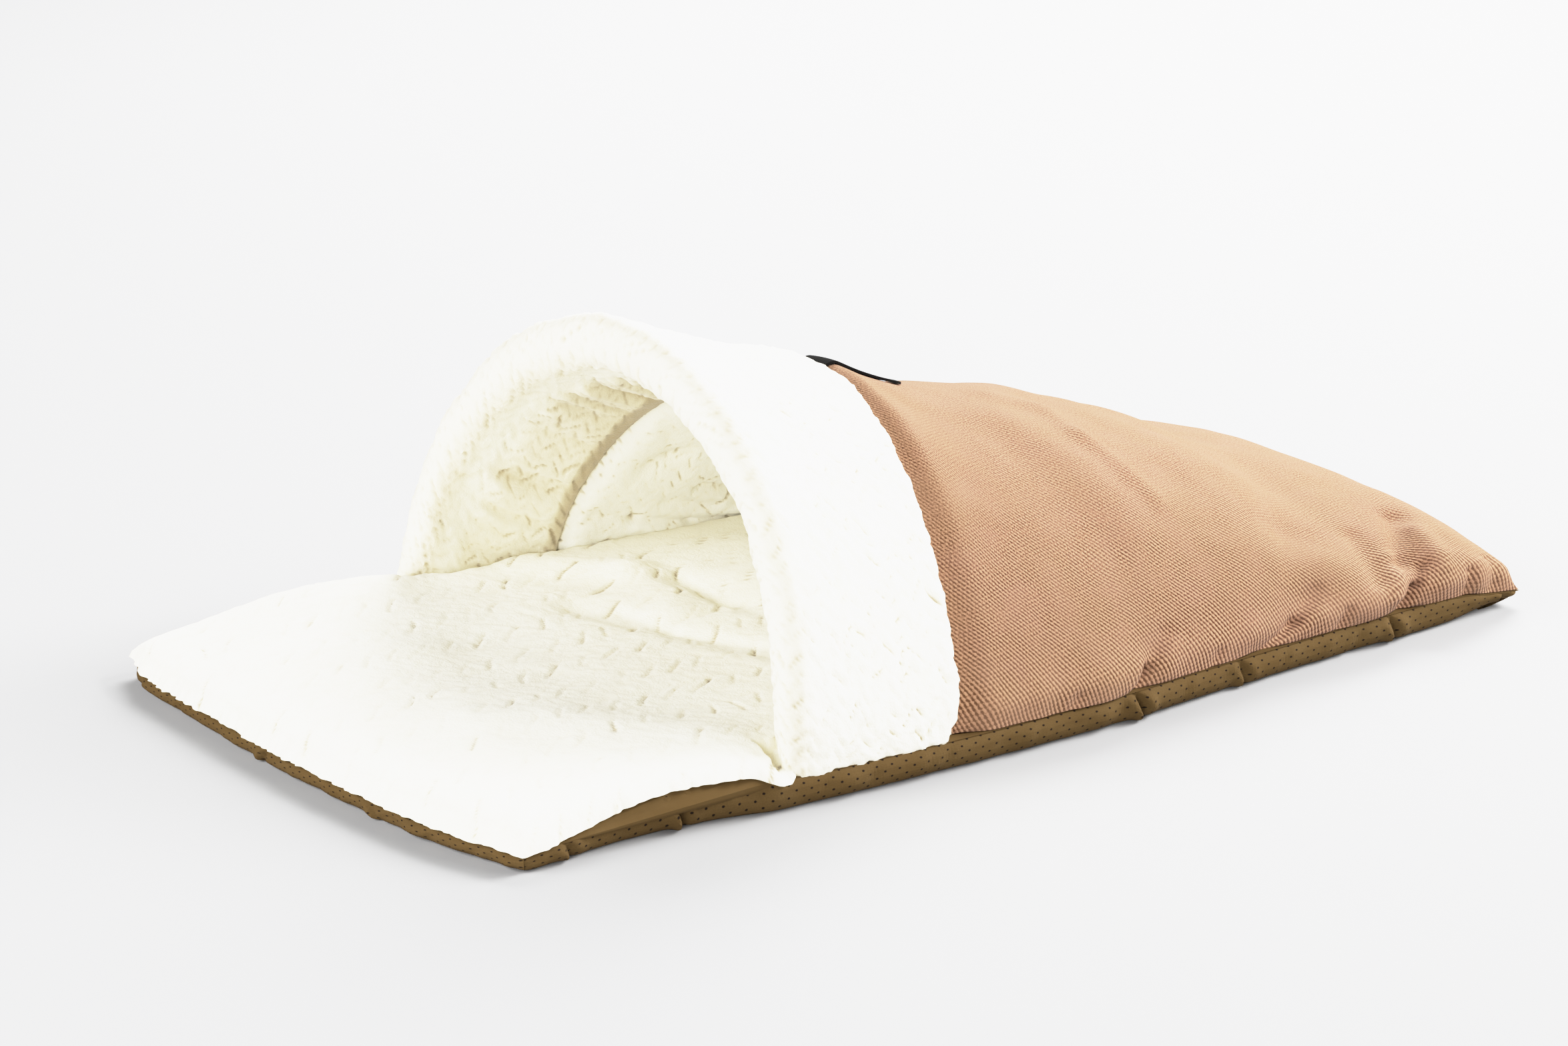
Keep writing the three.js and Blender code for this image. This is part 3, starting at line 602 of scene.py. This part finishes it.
# %% [markdown]
# ## Tan twill
# The outer cloth is a stiff twill over thin wadding. It bulges slightly over the seam
# between the gathers, and fine drag lines run up from each of them.

# %% Outer cloth of the hood
def hood_cloth():
    lengthwise = stations((HOOD_FRONT, -100, 9), (-100, HOOD_REAR, 3.2))
    t, a = np.meshgrid(lengthwise, arch_angles(230), indexing="ij")
    points = hood_points(t, a, cloth_depth(t, a))
    u, v = lengths(points, 1), t
    foot = np.minimum(u, u[:, -1:] - u)
    show = ease(t, -80, -50) * ease(HOOD_REAR - t, 0, 14)
    drag = 0.9 * relief(v, foot * 0.35, 15, 8) * np.exp(-foot / 22)
    bulge = 3.2 * np.exp(-((foot - 15) / 11) ** 2) + drag
    sag = 1.5 * relief(v, u, 62, 9) + 0.6 * relief(v, u, 25, 10)
    soft = ease(foot, 0, 16) * (1 - np.exp(-((a - 1.62) / 0.22) ** 2) * (1 - ease(t, 20, 50)))
    crease = folds(t, ARCH * a, on_arch(HOOD_CREASES))
    push = (bulge * (foot > 0) + sag * soft + crease * ease(foot, -4, 7)) * show
    points -= normals_of(points) * push[..., None]
    tb, ab = np.meshgrid(stations((HOOD_FRONT, HOOD_REAR, 14)), np.linspace(0, np.pi, 48), indexing="ij")
    under = hood_points(tb, ab, np.full(tb.shape, TWILL_BACK))
    return closed_sheet("hood_twill", points, under, np.stack([u, v], 2))


hood = hood_cloth()
print("hood cloth:", len(hood.data.polygons), "faces")

# %% [markdown]
# ## Plush lining
# The lining hangs inside the hood from the seam behind the cuff.

# %% Lining
def seam_shift(a):
    """How far the seam between cuff and lining runs ahead of its place at the foot."""
    return 3 - 22 * np.sin(a) ** 2


def hood_lining():
    lengthwise = stations((-112, 60, 2.4), (60, HOOD_REAR, 6))
    row, a = np.meshgrid(lengthwise, arch_angles(220, 0.4), indexing="ij")
    t = row + seam_shift(a) * (1 - ease(row, -112, -50))
    depth = WALL - 8 * (1 - ease(row, -112, -99))
    points = hood_points(t, a, depth)
    u = lengths(points, 1)
    pile = tufts(u, row, 2)
    crease = folds(t, ARCH * a, on_arch(LINING_CREASES))
    pillow = 1.8 * np.exp(-((row + 92) / 11) ** 2)
    pillow = pillow + 1.4 * relief(row, u, 44, 12) + 1.0 * relief(row * 0.5, u, 17, 16)
    calm = ease(HOOD_REAR - t, 0, 60)
    points += normals_of(points) * (((pile - 0.75) * 1.8 + crease + pillow) * calm)[..., None]
    tb, ab = np.meshgrid(stations((-110, HOOD_REAR, 14)), np.linspace(0, np.pi, 44), indexing="ij")
    under = hood_points(tb, ab, np.full(tb.shape, LINING_BACK))
    # Painted shade, added to the furrow colour: strong along the front edge in the seam groove, and more in
    # the troughs of the creases.
    furrow_shade = furrow_of(pile) + 0.55 * (row < -106) - 0.05 * crease.clip(-6, 0)
    return closed_sheet("hood_lining", points, under, np.stack([u, row], 2), furrow_shade)


lining = hood_lining()
print("lining:", len(lining.data.polygons), "faces")

# %% [markdown]
# ## The cuff
# The plush of the mouth is folded double over the front edge of the hood. Its section
# is a long leg outside, a thick roll in front and a shorter leg inside. The inside is
# the short way round the arch, so the cloth there is drawn into folds along the bed.

# %% Cuff
LIP, INNER_END, INNER_LIMIT = -218.5, -114.5, 18.3

def turned(t, depth, radius, start, end, count):
    """A rounded turn of the cuff's section, as places along the seam and depths."""
    angle = np.radians(np.linspace(start, end, count))
    return np.stack([t + radius * np.cos(angle), depth - radius * np.sin(angle)], 1)


def cuff_path():
    """The cuff's section: places along the seam, depths, and how far each is along its inner leg."""
    outside, inside = stations((-91, LIP, 2.35)), stations((LIP, INNER_END, 2.35))
    outer = np.stack([outside, np.zeros(len(outside))], 1)
    inner = np.stack([inside, np.full(len(inside), float(WALL))], 1)
    path = np.concatenate([turned(-90.5, 5.2, 5.2, -62, 84, 8), outer[1:],
                           turned(LIP, WALL / 2, WALL / 2, 90, 270, 17)[1:-1], inner,
                           turned(INNER_END, 19, 6, 270, 352, 6)[1:]])
    leg = np.where(path[:, 1] > WALL / 2, ease(path[:, 0], LIP, INNER_END), 0)
    return path, leg


def cuff_piece():
    path, leg = cuff_path()
    a, t = np.meshgrid(arch_angles(310, 0.6), path[:, 0])
    depth = np.broadcast_to(path[:, 1:], a.shape)
    u = lengths(hood_points(t, a, depth), 1)
    foot = np.minimum(u, u[:, -1:] - u)
    rear = (1 - ease(-t, 86, 125)) * (1 - leg[:, None])
    lip = ease(-t, 165, 215)
    t = t + seam_shift(a) * leg[:, None] - 13 * rear * np.clip(1 - foot / 26, 0, 1) ** 2
    t = t + 7 * lip * np.clip(1 - foot / 50, 0, 1) ** 1.5 * np.clip(np.cos(a), 0, 1)
    pinch = 0.3 * lip * np.clip(1 - foot / 22, 0, 1) ** 2
    pinch = pinch + 0.3 * ease(-t, 208, 222) * np.clip(1 - foot / 26, 0, 1)
    depth = (depth + lip_extra(t, a, depth)) * (1 - pinch)
    points = hood_points(t, a, depth)
    u, v = lengths(points, 1), np.broadcast_to(lengths(points[:, 75:76], 0), t.shape)
    pile = tufts(u, v, 1)
    foot = np.minimum(u, u[:, -1:] - u)
    rag = relief(u, v, 5.0, 13) * 1.6 * (1 - ease(v, 0, 9)) + 0.5 * relief(u, v, 2.4, 14)
    puff = 1.6 * np.exp(-foot / 6) * (1 - np.exp(-foot / 2.5))
    inner = ease(leg[:, None], 0.03, 0.3)
    drag = 4.2 * relief(u, v * 0.08, 9.5, 18) + 1.8 * relief(u, v * 0.14, 5.5, 17)
    drag = drag * inner * (1 - ease(leg[:, None], 0.95, 1))
    valley = np.clip(-drag / 3, 0, 1)
    soft = 1.2 * relief(u, v, 40, 19) + (1 - inner) * 0.9 * relief(u, v, 11, 20)
    # Painted shade, added to the furrow colour: stronger up the inner leg towards the crown and in its
    # drag-fold valleys, in a band round the rolled lip, and at the end of the inner leg in the seam groove.
    painted_shade = (0.08 + 0.42 * ease(np.sin(a), 0.1, 1)) * inner + 0.24 * valley
    painted_shade = painted_shade + 0.45 * np.exp(-((path[:, :1] + 224) / 12) ** 2) + 0.5 * ease(leg[:, None], 0.96, 1)
    push = (pile - 0.75) * (2.9 - inner) * ease(foot, -3, 5) + rag + puff + drag + soft
    push = np.where(inner > 0, np.maximum(push, INNER_LIMIT - WALL), push)
    points = points + normals_of(points) * push[..., None]
    points[..., 2] += np.where(foot < 5, (relief(v, u, 5.4, 15) - 0.6) * 1.8, 0) * (1 - ease(foot, 0, 5))
    slot = np.array([(at, 9.3) for at in stations((-88, -207, 8))]
                    + [(at, LINING_BACK) for at in stations((-207, -112, 8))])
    ab, tb = np.meshgrid(np.linspace(0, np.pi, 60), slot[:, 0])
    inside = hood_points(tb, ab, np.broadcast_to(slot[:, 1:], ab.shape))
    rolled = lip * (1 - inner * ease(leg[:, None], 0.03, 0.2))
    furrow_shade = furrow_of(pile) * (1 - 0.6 * rolled) * (1 - 0.5 * inner) + painted_shade
    return closed_sheet("mouth_cuff_plush", points, inside, np.stack([u, v], 2), furrow_shade)


cuff = cuff_piece()
print("cuff:", len(cuff.data.polygons), "faces")

# %% [markdown]
# ## The label
# A small bare strip of black tape lies on the crown behind the cuff. It runs in under
# the cuff, and its rear corners are rounded.

# %% Label
LABEL_FRONT, LABEL_REAR, LABEL_SWEEP = -84, 27, math.pi / 26

def label_piece():
    t, share = np.meshgrid(stations((LABEL_FRONT, LABEL_REAR, 3)), np.linspace(0, 1, 9), indexing="ij")
    trim = 0.5 * (1 - swell_up((LABEL_REAR - t) / 9))
    a = np.radians(86.6 + 0.036 * (LABEL_REAR - t)) + LABEL_SWEEP * mix(trim, 1 - trim, share)
    top, under = [hood_points(t, a, cloth_depth(t, a) - lift) for lift in (2.3, 0.6)]
    return closed_sheet("black_label", top, under)


label = label_piece()
print("label:", len(label.data.polygons), "faces")

# %% [markdown]
# ## Materials
# Each cloth gets its own node material. Effects that several of them share are node
# groups, with the shader itself kept in each material.

# %% Node helpers
def feed(tree, socket, value):
    """Links another node's output to a socket, or sets the socket's own value."""
    if isinstance(value, bpy.types.NodeSocket):
        tree.links.new(value, socket)
    else:
        socket.default_value = value

def put(tree, kind, inputs=None, **settings):
    """A node with its settings; an input may be a value or another node's output."""
    node = tree.nodes.new("ShaderNode" + kind)
    for key, value in settings.items():
        setattr(node, key, value)
    for key, value in (inputs or {}).items():
        feed(tree, node.inputs[key], value)
    return node

def group(name, inputs, outputs):
    """An empty node group with its named sockets, and its input and output nodes."""
    tree = bpy.data.node_groups.new(name, "ShaderNodeTree")
    for label, kind, value in inputs:
        socket = tree.interface.new_socket(label, in_out="INPUT", socket_type="NodeSocket" + kind)
        socket.default_value = value
    for label, kind in outputs:
        tree.interface.new_socket(label, in_out="OUTPUT", socket_type="NodeSocket" + kind)
    return tree, tree.nodes.new("NodeGroupInput").outputs, tree.nodes.new("NodeGroupOutput").inputs

def use_group(tree, which, inputs):
    node = tree.nodes.new("ShaderNodeGroup")
    node.node_tree = which
    for key, value in inputs.items():
        feed(tree, node.inputs[key], value)
    return node.outputs

print("node helpers ready")

# %% Sums, noise and blends
def math_node(tree, operation, a, b=0.0, clamp=False):
    return put(tree, "Math", {0: a, 1: b}, operation=operation, use_clamp=clamp).outputs[0]

def plus(tree, a, b, clamp=False):
    return math_node(tree, "ADD", a, b, clamp)

def minus(tree, a, b):
    return math_node(tree, "SUBTRACT", a, b)

def times(tree, a, b, clamp=False):
    return math_node(tree, "MULTIPLY", a, b, clamp)

def noise(tree, place, scale, detail=2.0, roughness=0.5):
    return put(tree, "TexNoise", {"Vector": place, "Scale": scale, "Detail": detail,
                                  "Roughness": roughness}).outputs[0]

def ramp(tree, value, start, end, low=0.0, high=1.0, kind="LINEAR"):
    """Maps start to end on to low to high, and holds both ends."""
    return put(tree, "MapRange", {"Value": value, "From Min": start, "From Max": end,
                                  "To Min": low, "To Max": high}, interpolation_type=kind).outputs[0]

def blend_colour(tree, share, a, b):
    node = put(tree, "Mix", data_type="RGBA")
    for socket, value in zip((node.inputs[0], node.inputs[6], node.inputs[7]), (share, a, b)):
        feed(tree, socket, value)
    return node.outputs[2]

print("sums, noise and blends ready")

# %% Groups: pile and mottle
def pile_group():
    tree, take, give = group("pile", [
        ("Tips", "Color", (0.9, 0.9, 0.88, 1)), ("Furrow shade", "Color", (0.8, 0.74, 0.6, 1)),
        ("Shade amount", "Float", 0.0), ("Fibre size", "Float", 700.0)],
        [("Color", "Color"), ("Height", "Float")])
    place = put(tree, "TexCoord").outputs["Object"]
    fibre = noise(tree, place, take["Fibre size"], 3.0, 0.65)
    clump = noise(tree, place, 190.0)
    # Painted shade: the furrow attribute blends the tips towards the furrow colour, and its deepest values
    # on towards near black in the slits.
    share = math_node(tree, "POWER", take["Shade amount"], 1.3, True)
    share = times(tree, share, plus(tree, clump, 0.45), True)
    slit = ramp(tree, take["Shade amount"], 0.38, 0.88)
    slit_shade = blend_colour(tree, 0.6, take["Furrow shade"], (0.12, 0.10, 0.07, 1))
    cloth = blend_colour(tree, share, take["Tips"], take["Furrow shade"])
    tree.links.new(blend_colour(tree, slit, cloth, slit_shade), give["Color"])
    tree.links.new(plus(tree, times(tree, clump, 1.4), fibre), give["Height"])
    return tree

def mottle_group():
    tree, take, give = group("mottle", [
        ("Color", "Color", (1, 1, 1, 1)), ("Worn", "Color", (1, 1, 1, 1)), ("Size", "Float", 9.0),
        ("Amount", "Float", 0.3)], [("Color", "Color")])
    place = put(tree, "TexCoord").outputs["Object"]
    cloud = noise(tree, place, take["Size"], 4.0, 0.6)
    share = times(tree, ramp(tree, cloud, 0.38, 0.66), take["Amount"], True)
    tree.links.new(blend_colour(tree, share, take["Color"], take["Worn"]), give["Color"])
    return tree

PILE, MOTTLE = pile_group(), mottle_group()
print("groups:", PILE.name, MOTTLE.name)

# %% Plush materials
def new_material(name, roughness, sheen, gloss=0.1):
    material = bpy.data.materials.new(name)
    material.use_nodes = True
    tree = material.node_tree
    shader = tree.nodes["Principled BSDF"]
    shader.inputs["Roughness"].default_value = roughness
    shader.inputs["Sheen Weight"].default_value = sheen
    shader.inputs["Sheen Roughness"].default_value = 0.5
    shader.inputs["Specular IOR Level"].default_value = gloss
    return material, tree, shader

def finish_shader(tree, shader, colour, height, strength, distance):
    """Gives the shader its colour and the bump of a height."""
    bump = put(tree, "Bump", {"Height": height, "Strength": strength, "Distance": distance})
    tree.links.new(colour, shader.inputs["Base Color"])
    tree.links.new(bump.outputs[0], shader.inputs["Normal"])

def plush_material(name, tips, shade_colour):
    material, tree, shader = new_material(name, 1.0, 0.35)
    depth = put(tree, "Attribute", attribute_name="furrow_shade").outputs["Fac"]
    pile = use_group(tree, PILE, {"Tips": tips, "Furrow shade": shade_colour, "Shade amount": depth})
    tone = use_group(tree, MOTTLE, {"Color": pile["Color"], "Worn": shade_colour, "Size": 14.0, "Amount": 0.1})
    finish_shader(tree, shader, tone["Color"], pile["Height"], 0.5, 0.0012)
    return material

# The second colour of each plush is the painted shade of its furrows and hollows.
white_plush = plush_material("white_plush", (0.92, 0.88, 0.71, 1), (0.70, 0.585, 0.37, 1))
# The lining is the same plush in a lighter copy, painted light that stands in for the light reaching into
# the hood.
lightened_plush = plush_material("lightened_plush", (0.97, 0.95, 0.82, 1), (0.86, 0.76, 0.53, 1))
print("plush materials ready")

# %% Twill
TWILL_GAP, TWILL_RIDGE = (0.075, 0.030, 0.015, 1), (0.394, 0.221, 0.132, 1)
TWILL_PINK, TWILL_OCHRE = (0.268, 0.147, 0.103, 1), (0.235, 0.147, 0.078, 1)

def cloth_place(tree):
    """Places on the flat cloth: as a vector, and its two parts in metres."""
    flat = put(tree, "UVMap", uv_map="cloth").outputs[0]
    u, v = put(tree, "SeparateXYZ", {0: flat}).outputs[:2]
    return flat, u, v

def twill_material():
    material, tree, shader = new_material("tan_twill", 0.95, 0.05, 0.08)
    flat, u, v = cloth_place(tree)
    rise = ramp(tree, u, 0.0, 0.09, 150.0, 250.0, "SMOOTHSTEP")
    turns = plus(tree, times(tree, v, 296.0), times(tree, u, rise))
    turns = plus(tree, turns, times(tree, noise(tree, flat, 26.0, 1.5), 1.6))
    ridge = math_node(tree, "SINE", times(tree, turns, 2 * math.pi))
    along = minus(tree, times(tree, u, 240.0), times(tree, v, 170.0))
    step = times(tree, math_node(tree, "FLOOR", turns), 0.37)
    bead = math_node(tree, "SINE", times(tree, plus(tree, along, step), 2 * math.pi))
    height = plus(tree, ridge, times(tree, bead, 0.45))
    height = times(tree, height, ramp(tree, u, 0.03, 0.16, 1.5, 0.55))
    yarn = noise(tree, flat, 760.0, 2.0, 0.75)
    strength = ramp(tree, noise(tree, flat, 60.0), 0.3, 0.7, 0.34, 0.66)
    share = plus(tree, times(tree, height, strength), ramp(tree, yarn, 0.34, 0.66), True)
    colour = blend_colour(tree, share, TWILL_GAP, TWILL_RIDGE)
    pink = use_group(tree, MOTTLE, {"Color": colour, "Worn": TWILL_PINK, "Size": 38.0, "Amount": 0.3})
    tone = use_group(tree, MOTTLE, {"Color": pink["Color"], "Worn": TWILL_OCHRE, "Size": 12.0,
                                    "Amount": 0.25})
    finish_shader(tree, shader, tone["Color"], plus(tree, times(tree, height, 0.4), yarn), 0.5, 0.0007)
    return material

tan_twill = twill_material()
print("twill ready")

# %% Underside cloth
def underside_material():
    material, tree, shader = new_material("underside_cloth", 0.85, 0.0, 0.05)
    flat, u, v = cloth_place(tree)
    dot_row = 0.0057
    rows = math_node(tree, "DIVIDE", v, dot_row)
    odd = times(tree, math_node(tree, "FLOORED_MODULO", math_node(tree, "FLOOR", rows), 2.0), 0.5)
    along = plus(tree, math_node(tree, "DIVIDE", u, 2 * dot_row), odd)
    x = minus(tree, math_node(tree, "FRACT", along), 0.5)
    y = minus(tree, math_node(tree, "FRACT", rows), 0.5)
    far = plus(tree, math_node(tree, "POWER", times(tree, x, 2.0), 2.0), math_node(tree, "POWER", y, 2.0))
    dot = ramp(tree, far, 0.015, 0.045, 1.0, 0.0)
    weave = noise(tree, flat, 900.0)
    cloth = use_group(tree, MOTTLE, {"Color": (0.096, 0.057, 0.020, 1), "Worn": (0.122, 0.078, 0.032, 1),
                                     "Size": 30.0, "Amount": 0.6})
    grain = blend_colour(tree, weave, cloth["Color"], (0.070, 0.042, 0.015, 1))
    colour = blend_colour(tree, dot, grain, (0.010, 0.006, 0.004, 1))
    finish_shader(tree, shader, colour, plus(tree, dot, times(tree, weave, 0.3)), 0.4, 0.0005)
    return material

brown_cloth = underside_material()
print("underside cloth ready")

# %% Label tape
def tape_material():
    material, tree, shader = new_material("black_tape", 0.95, 0.0, 0.02)
    place = put(tree, "TexCoord").outputs["Object"]
    ribs = put(tree, "TexWave", {"Vector": place, "Scale": 320.0, "Distortion": 0.4},
               bands_direction="Y").outputs["Fac"]
    colour = blend_colour(tree, ribs, (0.006, 0.006, 0.006, 1), (0.018, 0.017, 0.016, 1))
    finish_shader(tree, shader, colour, ribs, 0.3, 0.0003)
    return material

black_tape = tape_material()
print("tape ready")

# %% [markdown]
# ## Dress the imported bed
# Every piece stands for its solid in the imported model, takes its material and rides
# on its body.

# %% Dress
for piece, node, slot, material in (
        (mat_body, "filled_mat_underside", "underside_cloth", brown_cloth),
        (mat_top_plush, "mat_plush_top", "plush", white_plush),
        (hood, "hood_outer_cloth", "tan_twill", tan_twill),
        (lining, "hood_plush_lining", "lining_plush", lightened_plush),
        (cuff, "mouth_cuff", "plush", white_plush),
        (label, "label_patch", "black_patch", black_tape)):
    piece.data.materials.clear()
    piece.data.materials.append(material)
    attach(piece, "root")
    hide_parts(node)
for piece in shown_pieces():
    print(piece.name, len(piece.data.polygons), "faces")

# %% [markdown]
# ## Floor and light
# The bed stands on a plain grey floor. Five broad lights stand round it as in a small
# studio, the two strongest behind it and at its foot end, so the floor shows near white.

# %% Floor
deselect()
bpy.ops.mesh.primitive_plane_add(size=16)
floor = bpy.context.object
floor.name = "floor"
floor.data.transform(floor.matrix_world)
floor_material, _, floor_shader = new_material("pale_floor", 0.9, 0.0)
floor_shader.inputs["Base Color"].default_value = (0.383, 0.383, 0.388, 1)
floor.data.materials.append(floor_material)

# %% Lights
def area_light(name, place, aim, size, power):
    """A square light at place, turned to a point at height aim over the middle of the bed."""
    light = bpy.data.objects.new(name, bpy.data.lights.new(name, "AREA"))
    scene.collection.objects.link(light)
    light.location = place
    light.rotation_euler = (Vector(place) - Vector((0, 0, aim))).to_track_quat("Z", "Y").to_euler()
    light.data.size, light.data.energy = size, power

for light in (("front_light", (-0.4, -3.0, 1.5), 0.05, 1.8, 159),
              ("right_light", (2.4, 1.8, 1.8), 0.05, 1.8, 72),
              ("back_light", (-2.0, 2.2, 2.2), 0.05, 1.8, 324),
              ("foot_light", (1.2, 3.0, 2.2), 0.05, 1.8, 346),
              ("low_light", (2.2, -2.3, 0.75), 0.1, 1.4, 81)):
    area_light(*light)
world = bpy.data.worlds.new("surround")
scene.world = world
world.use_nodes = True
world.node_tree.nodes["Background"].inputs["Color"].default_value = (1, 1, 1, 1)
world.node_tree.nodes["Background"].inputs["Strength"].default_value = 0.05

# %% [markdown]
# ## Exposure
# The bed was photographed bright, so its whites run together near the top of the scale.
# A curve does the same here. It is straight up to half of full brightness and then rolls
# off towards white, so that nothing on the plush clips.

# %% Tone curve
FULL_SCALE, STRAIGHT, WHITE = 2.5, 0.53, 0.955


def rolled_off(light):
    over = max(0.0, light - STRAIGHT) / (WHITE - STRAIGHT)
    return min(light, STRAIGHT) + (WHITE - STRAIGHT) * (1 - math.exp(-over))


view = scene.view_settings
view.view_transform = "Standard"
view.use_curve_mapping = True
view.curve_mapping.white_level = (FULL_SCALE, FULL_SCALE, FULL_SCALE)
points = view.curve_mapping.curves[3].points
points[0].location, points[1].location = (0, 0), (1, rolled_off(FULL_SCALE))
for light in (0.26, STRAIGHT, 0.62, 0.72, 0.84, 0.98, 1.15, 1.4, 1.8):
    points.new(light / FULL_SCALE, rolled_off(light))
view.curve_mapping.update()
print("a brightness of 1 shows as", round(rolled_off(1.0), 3))
